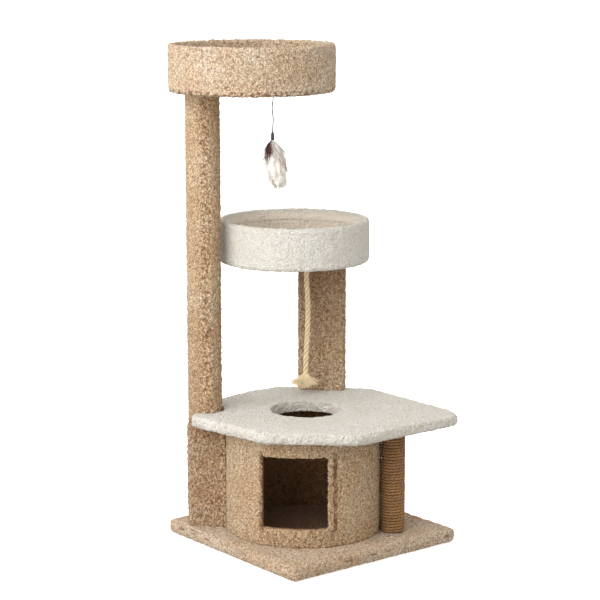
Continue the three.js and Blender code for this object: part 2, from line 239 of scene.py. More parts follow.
def carpetMaterial(name, look):
    # cut pile: tufts with painted shade in the gaps, flecks of lighter and darker yarn, and broad soft
    # patches
    material = newMaterial(name, 0.95, look["sheen"])
    material.node_tree.nodes["Principled BSDF"].inputs["Specular IOR Level"].default_value = look["gloss"]
    spot = places(material)
    tufts = addNode(material, "ShaderNodeTexVoronoi", {"Vector": spot, "Scale": look["tuftScale"]})
    gap = spread(material, tufts.outputs["Distance"], 0.3, 0.7)
    yarn = speckle(material, spot, look["fleckScale"], 0.38, 0.62, 3)
    fine = speckle(material, spot, look["fleckScale"] * 1.9, 0.42, 0.6, 2)
    broad = speckle(material, spot, look["patchScale"], 0.35, 0.65, 2)
    colour = mixed(material, yarn, rgba(look["dark"]), rgba(look["light"]))
    betweenTufts = addNode(material, "ShaderNodeAttribute", attribute_name="gaps").outputs["Fac"]
    # painted shade: the gaps between tufts, from the shader's cells and from the stored ones, turn to the gap
    # colour
    deep = calculated(material, "MAXIMUM", calculated(material, "MULTIPLY", gap, look["fineGapShare"]),
                      calculated(material, "MULTIPLY", betweenTufts, look["gapShare"]))
    colour = mixed(material, deep, colour, rgba(look["gap"]))
    pale = calculated(material, "MULTIPLY", fine, look["paleShare"])
    colour = mixed(material, pale, colour, rgba(look["pale"]))
    patches = calculated(material, "MULTIPLY", broad, look["patchShare"])
    colour = mixed(material, patches, colour, rgba(look["patch"]), "MULTIPLY")
    # the stored shade turns a spot to the seam colour: for real seams, stitches and specks, for painted shade
    # under, beside and low on things, and for the lining's beige in the middle tray
    shade = addNode(material, "ShaderNodeAttribute", attribute_name="shade").outputs["Fac"]
    colour = mixed(material, shade, colour, rgba(look["seam"]))
    height = calculated(material, "SUBTRACT", fine, gap)
    paint(material, colour, height, look["bumpDepth"], look["bumpStrength"])
    return material


def woodMaterial(name, dark, light, stretch):
    material = newMaterial(name, 0.7)
    spot = places(material, stretch)
    grain = speckle(material, spot, 160, 0.3, 0.7, 4)
    pores = speckle(material, spot, 700, 0.45, 0.75, 2)
    colour = mixed(material, grain, rgba(dark), rgba(light))
    colour = mixed(material, calculated(material, "MULTIPLY", pores, 0.3), colour, rgba(dark))
    paint(material, colour, grain, 0.0004, 0.4)
    return material


def steelMaterial():
    material = newMaterial("zincPlatedSteel", 0.34, 0, 1.0)
    spot = places(material)
    stain = speckle(material, spot, 420, 0.3, 0.7, 3)
    colour = mixed(material, stain, rgba((0.48, 0.48, 0.50)), rgba((0.66, 0.66, 0.68)))
    paint(material, colour, stain, 0.0001, 0.2)
    return material


def yarnMaterial(name, dark, light, scale, stretch=(1, 1, 1), roughness=0.85, depth=0.0006, hollow=None):
    # hollow is a stored share, how much of it shows, and the colour that it turns
    # on the rope and the sisal the hollow colour is painted shade in their crevices; on the tassel it is the
    # fibres' own tone
    material = newMaterial(name, roughness)
    spot = places(material, stretch)
    fibres = speckle(material, spot, scale, 0.3, 0.7, 3)
    broad = speckle(material, spot, scale * 0.11, 0.3, 0.7, 2)
    colour = mixed(material, fibres, rgba(dark), rgba(light))
    colour = mixed(material, calculated(material, "MULTIPLY", broad, 0.35), colour, rgba(dark))
    if hollow:
        stored = addNode(material, "ShaderNodeAttribute", attribute_name=hollow[0]).outputs["Fac"]
        colour = mixed(material, calculated(material, "MULTIPLY", stored, hollow[1]), colour, rgba(hollow[2]))
    paint(material, colour, fibres, depth, 0.5)
    return material


def slotOf(node):
    for part in frame["record"]["subparts"]:
        if part["node"] == node:
            return part["material_slot"]
    return None


# how the pile of every carpet grows
pile = {
    "inset": 0.001,  # the search for a neighbour starts this far inside
    "touching": 0.0012,  # a neighbour this near presses the pile flat
    # painted shade darkens the gaps between tufts, from gapFrom out over gapWidth
    "gapFrom": 0.38,  # in tuft spacings, as are the next two: a gap starts this far from a tuft's middle
    "gapWidth": 0.42,  # and is fully dark this much further out
    "tuftEdge": 0.45,  # nearer than this the pile stands up, further out it sinks
    "lowest": 0.0002,  # keeps the pile off the floor
}


def neighboursOf(node):
    # every fixed piece that may press on this one
    points = []
    faces = []
    for name, other in frame["nodes"].items():
        if name == node or other["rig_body"] != "root":
            continue
        first = len(points)
        points.extend(v.co.copy() for v in other.data.vertices)
        faces.extend(tuple(first + i for i in p.vertices) for p in other.data.polygons)
    return BVHTree.FromPolygons(points, faces)


def carpetPiece(name, node, look, material, shade=None):
    # the frame's plain carpet, remeshed fine and given a pile wherever nothing presses on it
    source = link(bpy.data.objects.new(name + ".source", frame["nodes"][node].data.copy()))
    remesh = source.modifiers.new("pile", "REMESH")
    remesh.mode = "VOXEL"
    remesh.voxel_size = look["grain"]
    soften = source.modifiers.new("soften", "SMOOTH")
    soften.iterations = look["soften"]
    bpy.context.view_layer.update()
    evaluated = source.evaluated_get(bpy.context.evaluated_depsgraph_get())
    mesh = bpy.data.meshes.new_from_object(evaluated)
    bpy.data.objects.remove(source)
    mesh.name = name
    count = len(mesh.vertices)
    flat = np.empty(count * 3)
    mesh.vertices.foreach_get("co", flat)
    points = flat.reshape(-1, 3)
    outwards = np.empty(count * 3)
    mesh.vertex_normals.foreach_get("vector", outwards)
    outwards = outwards.reshape(-1, 3)
    pressing = neighboursOf(node)
    lift = np.zeros(count)
    shades = np.zeros(count)
    gaps = np.zeros(count)
    inset = pile["inset"]
    unturn = towerTurn.inverted()
    for i in range(count):
        point = Vector(points[i])
        way = Vector(outwards[i])
        extra = 0
        if shade:
            shades[i], extra = shade(unturn @ point, unturn @ way)
        away = pressing.ray_cast(point - way * inset, way, inset + pile["touching"])[3]
        if away is not None:
            lift[i] = max(away - inset, 0)
            continue
        fromTuft = noise.voronoi(point * look["tuftsPerMetre"])[0][0]
        # painted shade: how far into a gap between tufts this spot lies, for the material to darken
        gaps[i] = min(max((fromTuft - pile["gapFrom"]) / pile["gapWidth"], 0), 1)
        lift[i] = look["proud"] + look["tuftHeight"] * (pile["tuftEdge"] - fromTuft)
        lift[i] += look["bumps"] * noise.noise(point * look["clump"]) + extra
    points = points + outwards * lift[:, None]
    points[:, 2] = np.maximum(points[:, 2], pile["lowest"])
    mesh.vertices.foreach_set("co", points.ravel())
    storeShares(mesh, "shade", shades)
    storeShares(mesh, "gaps", gaps)
    mesh.shade_smooth()
    mesh.update()
    piece = link(bpy.data.objects.new(name, mesh))
    finish(piece, material, "root", slotOf(node), node)
    print(name, "made with", len(mesh.polygons), "faces")


# the toy's cord; each sway is (across, back)
toyCord = {
    "diameter": 0.0026,
    "steps": 60,
    "sides": 8,
    "dark": (0.012, 0.012, 0.012),
    "light": (0.045, 0.045, 0.045),
    "sway": [
        (0, 0), (-0.6, 0), (-1.5, 0.1), (-2.2, 0.2), (-2.5, 0.2), (-2.3, 0.2), (-1.7, 0.1), (-1, 0),
        (-0.4, 0), (0, 0), (0, 0), (-0.3, 0), (-0.7, 0), (-1.1, 0), (-1.4, 0), (-1.5, 0),
    ],
}

hangingRope = {
    "diameter": 0.0134,
    "sway": [
        (0, 0), (0, 0), (0.6, 0), (1.5, 0), (2.4, 0), (3.1, 0), (3.5, 0), (3.6, 0), (3.4, 0),
        (3, 0), (2.3, 0), (1.5, 0), (0.6, 0), (-0.3, 0), (-1.1, 0), (-1.6, 0), (-1.8, 0), (-1.8, 0),
    ],
    "steps": 136,
    "sides": 14,
    "layLength": 0.043,  # one full turn of its three strands
    "strandSwell": 1.04,  # against strands that would just fit side by side
    "fibreRidges": 7,
    "ridgeHeight": 0.05,
    "ridgeTurn": 0.9,
    "hollowGain": 2.6,
    "dark": (0.56, 0.43, 0.25),
    "light": (0.90, 0.76, 0.52),
    # the colour of the painted shade in the crevices between the strands
    "hollow": (0.34, 0.22, 0.10),
}


def cordRoute(eyeNode, cordNode, sway):
    low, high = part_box(cordNode)
    start = middleOf(eyeNode)
    route = []
    for i, (across, back) in enumerate(sway):
        up = high.z + (low.z - high.z) * i / (len(sway) - 1)
        aside = towerTurn @ Vector((across, back, 0)) * millimetre
        route.append(Vector((start.x, start.y, up)) + aside)
    return route


def makeToyCord():
    route = cordRoute("toy_eye", "toy_cord", toyCord["sway"])
    line = smoothLine(route, toyCord["steps"])
    points = []
    faces = []
    sweep(points, faces, line, [toyCord["diameter"] / 2] * len(line), toyCord["sides"])
    piece = meshPiece("toyCord", points, faces)
    material = yarnMaterial("greyElasticCord", toyCord["dark"], toyCord["light"], 900, (1, 1, 0.3), 0.8)
    finish(piece, material, "toy", "black_cord", "toy_cord")
    return piece, line


def makeRope():
    route = cordRoute("rope_eye", "rope", hangingRope["sway"])
    line = smoothLine(route, hangingRope["steps"])
    radius = hangingRope["diameter"] / 2
    strandRadius = radius / (1 + 2 / math.sqrt(3)) * hangingRope["strandSwell"]
    offset = radius - strandRadius
    sides = hangingRope["sides"]
    ridges = hangingRope["fibreRidges"]
    height = hangingRope["ridgeHeight"]
    turn = hangingRope["ridgeTurn"]
    points = []
    faces = []
    for strand in range(3):
        path = []
        travelled = 0
        for i, centre in enumerate(line):
            if i:
                travelled += (centre - line[i - 1]).length
            angle = 2 * math.pi * (strand / 3 - travelled / hangingRope["layLength"])
            path.append(centre + Vector((math.cos(angle), math.sin(angle), 0)) * offset)
        sweep(points, faces, path, [strandRadius] * len(path), sides,
              lambda i, a: 1 + height * math.sin(ridges * a + i * turn))
    piece = meshPiece("hangingRope", points, faces)
    rings = len(line)
    # painted shade: darker towards the rope's middle, in the crevices between its three strands
    hollows = []
    for n, point in enumerate(points):
        inside = 1 - (point - line[(n // sides) % rings]).length / radius
        hollows.append(min(max(inside * hangingRope["hollowGain"], 0), 1))
    storeShares(piece.data, "hollow", hollows)
    finish(piece, strawMaterial, "hanging_rope", "straw_rope", "rope")
    return piece, line


# the loops that hang in the two screw eyes
loops = {
    "toyWire": 0.0009,
    "ropeWire": 0.003,
    "ropeTwist": 9,
    "twistDepth": 0.12,
    "dark": (0.02, 0.02, 0.02),
    "light": (0.10, 0.10, 0.11),
}


def ringPiece(name, node, wire, material, body, twist=0):
    # a closed ring that stands across the tower, in place of the frame's plain one
    low, high = towerBox(node)
    middle = (low + high) / 2
    radius = (high.z - low.z) / 2 - wire
    steps = 48
    sides = 12
    points = []
    faces = []
    for i in range(steps):
        turn = 2 * math.pi * i / steps
        out = Vector((0, math.cos(turn), math.sin(turn)))
        for k in range(sides):
            angle = 2 * math.pi * k / sides
            thick = wire * (1 - (loops["twistDepth"] * math.sin(3 * angle + twist * turn) if twist else 0))
            spot = middle + out * (radius + math.cos(angle) * thick) + Vector((math.sin(angle) * thick, 0, 0))
            points.append(towerTurn @ spot)
            after = (i + 1) % steps
            over = (k + 1) % sides
            faces.append((i * sides + k, after * sides + k, after * sides + over, i * sides + over))
    finish(meshPiece(name, points, faces), material, body, slotOf(node), node)


# the fur toy; its shape is a list of (share of the way down, half width), and a patch gives its middle
# across (-1 to 1) and down, then its half width and half height
furToy = {
    "locks": 330,
    "hairsPerLock": 14,
    "strandRadius": 0.00032,
    "lean": 0.014,
    "shape": [
        (0, 3), (0.05, 9), (0.09, 14), (0.26, 23), (0.43, 27),
        (0.6, 27.5), (0.77, 25), (0.89, 18), (0.97, 8), (1, 0.5),
    ],
    "body": 0.80,  # the dense part's share of the width
    "bodyEnd": 0.96,  # and of the length
    "brownPatch": (-0.62, 0.13, 0.60, 0.17),
    "tawnyStreak": (0.85, 0.42, 0.35, 0.16),
    "tawnySpot": (-0.45, 0.80, 0.16, 0.07),
    "white": (0.985, 0.95, 0.90),
    "grey": (0.62, 0.58, 0.56),
    "brown": (0.075, 0.024, 0.014),
    "tawny": (0.40, 0.27, 0.18),
    "seed": 7,
}


def between(table, share):
    # the value at a share of the way along a short list of (share, value)
    for (x0, y0), (x1, y1) in zip(table, table[1:]):
        if share <= x1:
            return y0 + (y1 - y0) * (share - x0) / (x1 - x0)
    return table[-1][1]


def furWidth(share):
    return between(furToy["shape"], share) * furToy["body"] * millimetre


def fromPatch(patch, across, depth):
    # 0 in the patch's middle, 1 at its edge
    middleAcross, middleDepth, halfAcross, halfDepth = furToy[patch]
    return math.hypot((across - middleAcross) / halfAcross, (depth - middleDepth) / halfDepth)


def furColour(across, depth, dice, stray=False):
    # brown patch at the upper left, tawny streaks at the right and low in the middle, greyish loose ends
    if fromPatch("brownPatch", across, depth) < 0.75 + 0.5 * dice.random():
        return furToy["brown"]
    if across < -0.6 and depth < 0.42 and dice.random() < 0.3:
        return furToy["brown"]
    if fromPatch("tawnyStreak", across, depth) < 1 and dice.random() < 0.4:
        return furToy["tawny"]
    if fromPatch("tawnySpot", across, depth) < 1 and dice.random() < 0.5:
        return furToy["tawny"]
    if stray and dice.random() < 0.25:
        return furToy["grey"]
    tone = 0.9 + 0.12 * dice.random()
    return tuple(min(c * tone, 0.985) for c in furToy["white"])


def furSpot(stem, top, tall, around, share, out):
    # a place in the tuft: round its leaning middle line, a share of the way down
    return towerTurn @ Vector((
        stem.x + furToy["lean"] * share + math.cos(around) * out,
        stem.y + math.sin(around) * out,
        top - share * tall))


def makeToyFur():
    dice = random.Random(furToy["seed"])
    top = towerBox("toy_ferrule")[0].z + 0.001
    tall = top - towerBox("toy_tuft")[0].z
    stem = sum(towerBox("toy_ferrule"), Vector()) / 2
    points = []
    faces = []
    colours = []
    # the dense body, grooved lengthways
    rings = 60
    sides = 96
    for i in range(rings + 1):
        share = furToy["bodyEnd"] * i / rings
        width = furWidth(share)
        for k in range(sides):
            around = 2 * math.pi * k / sides
            combed = noise.noise(Vector((math.cos(around) * 7, math.sin(around) * 7, share * 2.2)))
            lump = noise.noise(Vector((math.cos(around) * 2, math.sin(around) * 2, share * 5 + 9)))
            points.append(furSpot(stem, top, tall, around, share, width * (1 + 0.04 * combed + 0.12 * lump)))
            colours.append(furColour(math.cos(around), share, dice))
    for i in range(rings):
        for k in range(sides):
            low = (i + 1) * sides
            over = (k + 1) % sides
            faces.append((i * sides + k, low + k, low + over, i * sides + over))
    faces.append(tuple(range(sides)))
    faces.append(tuple(range(rings * sides + sides - 1, rings * sides - 1, -1)))
    # loose hairs over it, in locks that are combed down and flick outwards
    steps = 7
    for n in range(furToy["locks"]):
        lockAround = dice.random() * 2 * math.pi
        lockBegin = 0.88 * dice.random()
        lockSwirl = (dice.random() - 0.5) * 0.6
        lockFlick = 0.001 + 0.013 * dice.random() ** 1.7
        lockLength = 0.12 + 0.14 * dice.random()
        for hair in range(furToy["hairsPerLock"]):
            around = lockAround + dice.gauss(0, 0.13)
            begin = max(0, lockBegin + dice.gauss(0, 0.02))
            reach = min(begin + lockLength * (0.75 + 0.4 * dice.random()), 1.03)
            line = []
            for i in range(steps):
                grown = i / (steps - 1)
                share = begin + (reach - begin) * grown
                width = furWidth(min(share, furToy["bodyEnd"]))
                out = width + lockFlick * grown ** 1.3 - 0.0004
                gathered = lockAround + (around - lockAround) * (1 - 0.65 * grown) + lockSwirl * grown
                line.append(furSpot(stem, top, tall, gathered, share, out))
            radii = [furToy["strandRadius"] * (1 - 0.8 * i / (steps - 1)) for i in range(steps)]
            first = len(points)
            sweep(points, faces, line, radii, 3)
            colour = furColour(math.cos(around), begin, dice, lockFlick > 0.007)
            colours.extend([colour] * (len(points) - first))
    piece = meshPiece("toyFur", points, faces)
    shades = np.ones((len(points), 4))
    shades[:, :3] = colours
    layer = piece.data.attributes.new("furColour", "FLOAT_COLOR", "POINT")
    layer.data.foreach_set("color", shades.ravel())
    material = newMaterial("rabbitFur", 0.9, 0.05)
    tone = addNode(material, "ShaderNodeAttribute", attribute_name="furColour").outputs["Color"]
    strands = speckle(material, places(material, (1, 1, 0.25)), 900, 0.3, 0.7, 2)
    colour = mixed(material, calculated(material, "MULTIPLY", strands, 0.18), tone,
                   rgba((0.60, 0.54, 0.46)), "MULTIPLY")
    paint(material, colour, strands, 0.0003, 0.3)
    finish(piece, material, "toy", "fur", "toy_tuft")


# the bound collar above the fur; its outline is a list of (share of the way up, share of the half width)
toyFerrule = {
    "outline": [
        (0, 0.74), (0.04, 0.86), (0.16, 1), (0.3, 0.97),
        (0.55, 0.93), (0.75, 0.88), (0.9, 0.66), (1, 0.5),
    ],
    "wraps": 12,
    "slim": 0.97,
    "ridge": 0.03,
    "dark": (0.012, 0.011, 0.012),
    "light": (0.05, 0.05, 0.055),
}


def makeFerrule():
    low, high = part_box("toy_ferrule")
    middle = (low + high) / 2
    tall = high.z - low.z
    wide = (high.x - low.x) / 2
    steps = 60
    line = []
    radii = []
    for i in range(steps):
        share = i / (steps - 1)
        line.append(Vector((middle.x, middle.y, low.z + tall * share)))
        wrapped = math.sin(share * 2 * math.pi * toyFerrule["wraps"])
        thick = toyFerrule["slim"] + toyFerrule["ridge"] * wrapped
        radii.append(wide * between(toyFerrule["outline"], share) * thick)
    points = []
    faces = []
    sweep(points, faces, line, radii, 24)
    piece = meshPiece("toyFerrule", points, faces)
    material = yarnMaterial("blackBinding", toyFerrule["dark"], toyFerrule["light"], 700,
                            (1, 1, 3), 0.38, 0.0002)
    finish(piece, material, "toy", "black_cord", "toy_ferrule")
    return piece


# the frayed end of the rope; the lobes are shares of the half width
tassel = {
    "lobes": (-0.6, 0.5, -0.15),
    "fibres": 420,
    "fibreRadius": 0.0006,
    "halfWidth": 0.039,
    "halfDepth": 0.015,
    "leftwards": 0.005,
    "dark": (0.86, 0.71, 0.47),
    "light": (0.97, 0.88, 0.66),
    "hollow": (0.52, 0.35, 0.16),
    "seed": 11,
}


def makeTassel():
    # the three strands come apart into two soft lobes, left and right
    dice = random.Random(tassel["seed"])
    low, high = towerBox("rope_tassel")
    start = Vector(((low.x + high.x) / 2 + tassel["leftwards"], (low.y + high.y) / 2, high.z + 0.004))
    tall = start.z - low.z
    points = []
    faces = []
    tones = []
    steps = 9
    for n in range(tassel["fibres"]):
        lobe = tassel["lobes"][n % len(tassel["lobes"])]
        aim = max(-1, min(1, lobe + dice.gauss(0, 0.27)))
        deep = max(-1, min(1, dice.gauss(0, 0.45)))
        around = dice.random() * 2 * math.pi
        hold = 0.0055 * math.sqrt(dice.random())
        root = start + Vector((math.cos(around) * hold, math.sin(around) * hold, 0))
        drop = tall * (0.6 + 0.4 * dice.random()) * (1 - 0.33 * abs(aim))
        wave = (dice.random() - 0.5) * 0.008
        line = []
        for i in range(steps):
            share = i / (steps - 1)
            out = share ** 1.5
            line.append(towerTurn @ (root + Vector((
                aim * tassel["halfWidth"] * out - tassel["leftwards"] * share + wave * math.sin(share * 3.1),
                deep * tassel["halfDepth"] * out,
                -drop * share ** 0.85))))
        thick = tassel["fibreRadius"] * (0.6 + 0.8 * dice.random())
        first = len(points)
        sweep(points, faces, line, [thick * (1 - 0.5 * i / (steps - 1)) for i in range(steps)], 4)
        tones.extend([dice.random() ** 1.5] * (len(points) - first))
    piece = meshPiece("ropeTassel", points, faces)
    storeShares(piece.data, "hollow", tones)
    finish(piece, frayMaterial, "hanging_rope", "straw_rope", "rope_tassel")
    return piece


# the rope wound on the short post
sisalWinding = {
    "turns": 36,
    "ropeRadius": 0.0037,
    "twistLength": 0.011,
    "steps": 3400,
    "sides": 10,
    "wobble": 0.0005,
    "strandDepth": 0.22,
    "fuzz": 0.06,
    "dark": (0.17, 0.072, 0.024),
    "light": (0.62, 0.345, 0.14),
    # the colour of the painted shade in the grooves and against the post
    "hollow": (0.035, 0.013, 0.004),
}


def makeSisalWinding():
    low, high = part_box("sisal_wrap")
    middle = (low + high) / 2
    radius = (high.x - low.x) / 2 - sisalWinding["ropeRadius"]
    thick = sisalWinding["ropeRadius"]
    bottom = low.z + thick
    rise = high.z - low.z - 2 * thick
    line = []
    steps = sisalWinding["steps"]
    for i in range(steps):
        share = i / (steps - 1)
        angle = 2 * math.pi * sisalWinding["turns"] * share
        climbed = min(max((share * sisalWinding["turns"] - 1) / (sisalWinding["turns"] - 2), 0), 1)
        wobble = sisalWinding["wobble"] * noise.noise(Vector((share * 60, 0.3, 0.7)))
        line.append(Vector((
            middle.x + math.cos(angle) * (radius + wobble),
            middle.y + math.sin(angle) * (radius + wobble),
            bottom + rise * climbed + wobble)))
    perStep = 2 * math.pi * radius * sisalWinding["turns"] / steps
    twist = 2 * math.pi * perStep / sisalWinding["twistLength"]
    points = []
    faces = []
    sides = sisalWinding["sides"]
    deep = sisalWinding["strandDepth"]
    fuzz = sisalWinding["fuzz"]
    sweep(points, faces, line, [thick] * steps, sides,
          lambda i, a: 1 + deep * math.sin(3 * a + i * twist) + fuzz * noise.noise(Vector((i * 0.31, a, 2))))
    piece = meshPiece("sisalWinding", points, faces)
    # painted shade: darker in the grooves between the strands and on the side turned in to the post
    hollows = []
    for n, point in enumerate(points):
        angle = 2 * math.pi * (n % sides) / sides
        groove = 0.5 - 0.5 * math.sin(3 * angle + n // sides * twist)
        out = math.hypot(point.x - middle.x, point.y - middle.y) - radius
        sunken = min(max(1 - out / (0.85 * thick), 0), 1)
        hollows.append(min(0.7 * groove + 1.1 * sunken, 1))
    storeShares(piece.data, "hollow", hollows)
    material = yarnMaterial("brownSisal", sisalWinding["dark"], sisalWinding["light"], 420,
                            (1, 1, 1), 0.9, 0.0008, ("hollow", 0.85, sisalWinding["hollow"]))
    finish(piece, material, "root", "sisal_rope", "sisal_wrap")


# the carpets' looks; each one below starts from another and says what differs
beigeCarpet = {
    "grain": 0.0026,
    "soften": 6,
    "proud": -0.0005,
    "tuftsPerMetre": 175,
    "tuftHeight": 0.0042,
    "bumps": 0.0012,
    "clump": 60,
    "sheen": 0.05,
    "gloss": 0.15,
    "tuftScale": 230,
    "fleckScale": 235,
    "patchScale": 10,
    "dark": (0.44, 0.28, 0.15),
    "light": (0.92, 0.78, 0.59),
    "pale": (0.99, 0.93, 0.79),
    # gap is painted shade in the gaps between tufts
    "gap": (0.19, 0.08, 0.028),
    "patch": (0.90, 0.78, 0.66),
    # seam is the colour that the stored shade turns to: real seams, stitches and specks, and painted shade
    # under, beside and low on things
    "seam": (0.15, 0.048, 0.009),
    "gapShare": 0.8,
    "fineGapShare": 0.45,
    "paleShare": 0.5,
    "patchShare": 0.7,
    "bumpDepth": 0.003,
    "bumpStrength": 0.8,
}

tanCarpet = dict(
    beigeCarpet,
    proud=-0.001,
    tuftsPerMetre=155,
    tuftHeight=0.0048,
    dark=(0.34, 0.165, 0.068),
    light=(0.99, 0.72, 0.44),
    pale=(0.99, 0.89, 0.69),
    gap=(0.10, 0.036, 0.011),
    patch=(0.85, 0.74, 0.62),
    gapShare=0.9,
    fineGapShare=0.5,
    paleShare=0.55,
)

tallPostLook = dict(
    tanCarpet,
    dark=(0.44, 0.245, 0.118),
    gapShare=0.65,
)

topTrayLook = dict(
    beigeCarpet,
    soften=14,
    bumps=0.0018,
)

creamPlush = dict(
    beigeCarpet,
    tuftsPerMetre=160,
    tuftHeight=0.0029,
    bumps=0.0009,
    sheen=0.1,
    tuftScale=200,
    fleckScale=260,
    dark=(0.685, 0.665, 0.595),
    light=(0.785, 0.77, 0.72),
    pale=(0.86, 0.85, 0.81),
    gap=(0.42, 0.34, 0.25),
    patch=(0.94, 0.92, 0.89),
    seam=(0.50, 0.40, 0.28),
    gapShare=0.38,
    fineGapShare=0.12,
    paleShare=0.35,
)

trayLining = dict(
    creamPlush,
    dark=(0.88, 0.79, 0.66),
    light=(0.97, 0.90, 0.80),
    pale=(0.99, 0.96, 0.90),
    gap=(0.60, 0.47, 0.34),
)

# the house's outside: the beige carpet with stronger contrast, painted darker and browner for the shade it
# stands in
houseCarpet = dict(
    beigeCarpet,
    grain=0.0027,
    proud=0.0014,
    dark=(0.30, 0.17, 0.078),
    light=(0.84, 0.63, 0.405),
    pale=(0.95, 0.80, 0.58),
    gap=(0.10, 0.04, 0.012),
)

# the house's inside: the beige carpet painted dark and brown for the shade inside the house
shadedLining = dict(
    beigeCarpet,
    grain=0.0032,
    tuftHeight=0.003,
    dark=(0.14, 0.065, 0.022),
    light=(0.31, 0.165, 0.07),
    pale=(0.40, 0.235, 0.11),
    gap=(0.05, 0.02, 0.006),
)


def speckled(point, perMetre, threshold=0.0):
    # 1 on scattered dark tufts, 0 between them
    return min(max((noise.noise(point * perMetre) - threshold) * 4, 0), 1)


houseMiddle = sum(towerBox("house_outer_carpet"), Vector()) / 2
tallPostMiddle = sum(towerBox("tall_post_carpet"), Vector()) / 2

baseSeam = {
    "height": 0.021,
    "halfHeight": 0.002,
    "wander": 0.002,
    "dashes": 30,
    "sparseness": 0.12,
    "share": 0.6,
    "groove": 0.002,
    "steepest": 0.6,  # a face counts as a side while its slope upwards is under this
}


def baseShade(point, way):
    # painted shade under the house and, more lightly, on the sides; a broken row of stitches along the sides
    house = towerBox("house_lining")
    middle = (house[0] + house[1]) / 2
    # painted shade: the carpet under the house is dark, for the shade inside it
    if math.hypot(point.x - middle.x, point.y - middle.y) < (house[1].x - house[0].x) / 2 + 0.002:
        return 0.8, 0
    onSide = abs(way.z) < baseSeam["steepest"]
    wander = baseSeam["wander"] * noise.noise(point * 9)
    if onSide and abs(point.z - baseSeam["height"] - wander) < baseSeam["halfHeight"]:
        dash = speckled(Vector((point.x, point.y, 0)), baseSeam["dashes"], baseSeam["sparseness"])
        return baseSeam["share"] * dash, -baseSeam["groove"] * dash
    # painted shade: the sides a little darker than the top
    if onSide:
        return 0.10 + 0.25 * speckled(point, 150, 0.15), 0
    return 0.05 + 0.22 * speckled(point, 140, 0.15), 0


doorOpening = {"halfWidth": 0.078, "bottom": 0.08, "top": 0.256}
doorSeams = {"left": 0.003, "right": 0.016, "width": 0.0045, "groove": 0.003, "wander": 0.0025}


def houseShade(point, way):
    # rough seams beside the doorway; the strips above and below it are laid the other way and painted darker,
    # above the door also for the shelf's shadow
    left = houseMiddle.x - doorOpening["halfWidth"]
    right = houseMiddle.x + doorOpening["halfWidth"]
    if point.y > houseMiddle.y or not left - 0.03 < point.x < right + 0.04:
        return 0, 0
    leftSeam = left - doorSeams["left"]
    rightSeam = right + doorSeams["right"]
    wander = doorSeams["wander"] * noise.noise(point * 45)
    if doorOpening["bottom"] - 0.006 < point.z < doorOpening["top"] + 0.008:
        for seam in (leftSeam, rightSeam):
            away = abs(point.x - seam - wander)
            if away < doorSeams["width"]:
                depth = 0.5 + 0.5 * speckled(point, 120, -0.1)
                return 0.8 * depth, -doorSeams["groove"] * depth
    # painted darker: strips laid the other way, and above the door painted shadow from the shelf
    if leftSeam < point.x < rightSeam:
        return 0.03 + 0.28 * speckled(point, 130, 0.12), 0.0015 * noise.noise(point * 90)
    return 0, 0


lowerSeam = {"width": 0.017, "share": 0.7}


def lowerPostShade(point, way):
    # a coarse seam beside the house, darker also for painted shade where the house crowds it; the rest is
    # painted darker for less light low down
    high = towerBox("lower_post_carpet")[1]
    edge = high.x - point.x
    # the seam, with painted shade beside the house
    if point.y < high.y - 0.05 and edge < lowerSeam["width"] and way.y < -0.4:
        return lowerSeam["share"] * speckled(point, 190, 0.0), 0.002 * noise.noise(point * 110)
    # painted shade: the rest of the post darker, as less light reaches this low
    return 0.3 + 0.3 * speckled(point, 150, 0.15), 0


postSeam = {"across": 0.012, "halfWidth": 0.014, "share": 0.6}


def tallPostShade(point, way):
    # one speckled seam runs down the post, a little right of its front; elsewhere painted shade darkens it
    # towards the bottom
    away = abs(point.x - tallPostMiddle.x - postSeam["across"] - 0.004 * noise.noise(point * 12))
    if way.y < 0 and away < postSeam["halfWidth"]:
        fade = 1 - away / postSeam["halfWidth"]
        return postSeam["share"] * speckled(point, 170, 0.12 - 0.25 * fade), -0.001 * fade
    # painted shade: darker lower down, where less light reaches
    lowness = 1 - point.z / tallPostMiddle.z / 2
    return 0.3 * lowness + 0.25 * speckled(point, 160, 0.22), 0


def middlePostShade(point, way):
    # painted shade: darker towards the tray above it, in the tray's shadow
    low, high = towerBox("middle_post_carpet")
    height = (point.z - low.z) / (high.z - low.z)
    return 0.1 + 0.45 * height ** 2 + 0.25 * speckled(point, 170, 0.18), 0


def trayShade(point, way):
    # dark specks where the pile opens at the lower edge
    low = towerBox("top_tray_carpet")[0].z
    if point.z < low + 0.014:
        return 0.7 * speckled(point, 120, 0.02), 0.0012 * noise.noise(point * 90)
    return 0.35 * speckled(point, 130, 0.25), 0.0025 * max(way.z, 0)


def plushShade(point, way):
    # shaggier round the edges
    if abs(way.z) < 0.75:
        return 0.45 * speckled(point, 150, 0.12), 0.0022 * noise.noise(point * 75)
    return 0, 0


middleTrayLook = dict(creamPlush, seam=(0.97, 0.89, 0.78))
trayFold = {"wall": 0.014, "floor": 0.02, "rim": 0.004, "fade": 0.012}


def middleTrayShade(point, way):
    # cream outside and on the rim, turning to the lining's beige inside
    low, high = towerBox("middle_tray_carpet")
    middle = (low + high) / 2
    away = math.hypot(point.x - middle.x, point.y - middle.y)
    inner = (high.x - low.x) / 2 - trayFold["wall"]
    if away < inner and point.z > low.z + trayFold["floor"]:
        return min(max((high.z - trayFold["rim"] - point.z) / trayFold["fade"], 0), 1), 0
    return 0, 0.001 * noise.noise(point * 45)


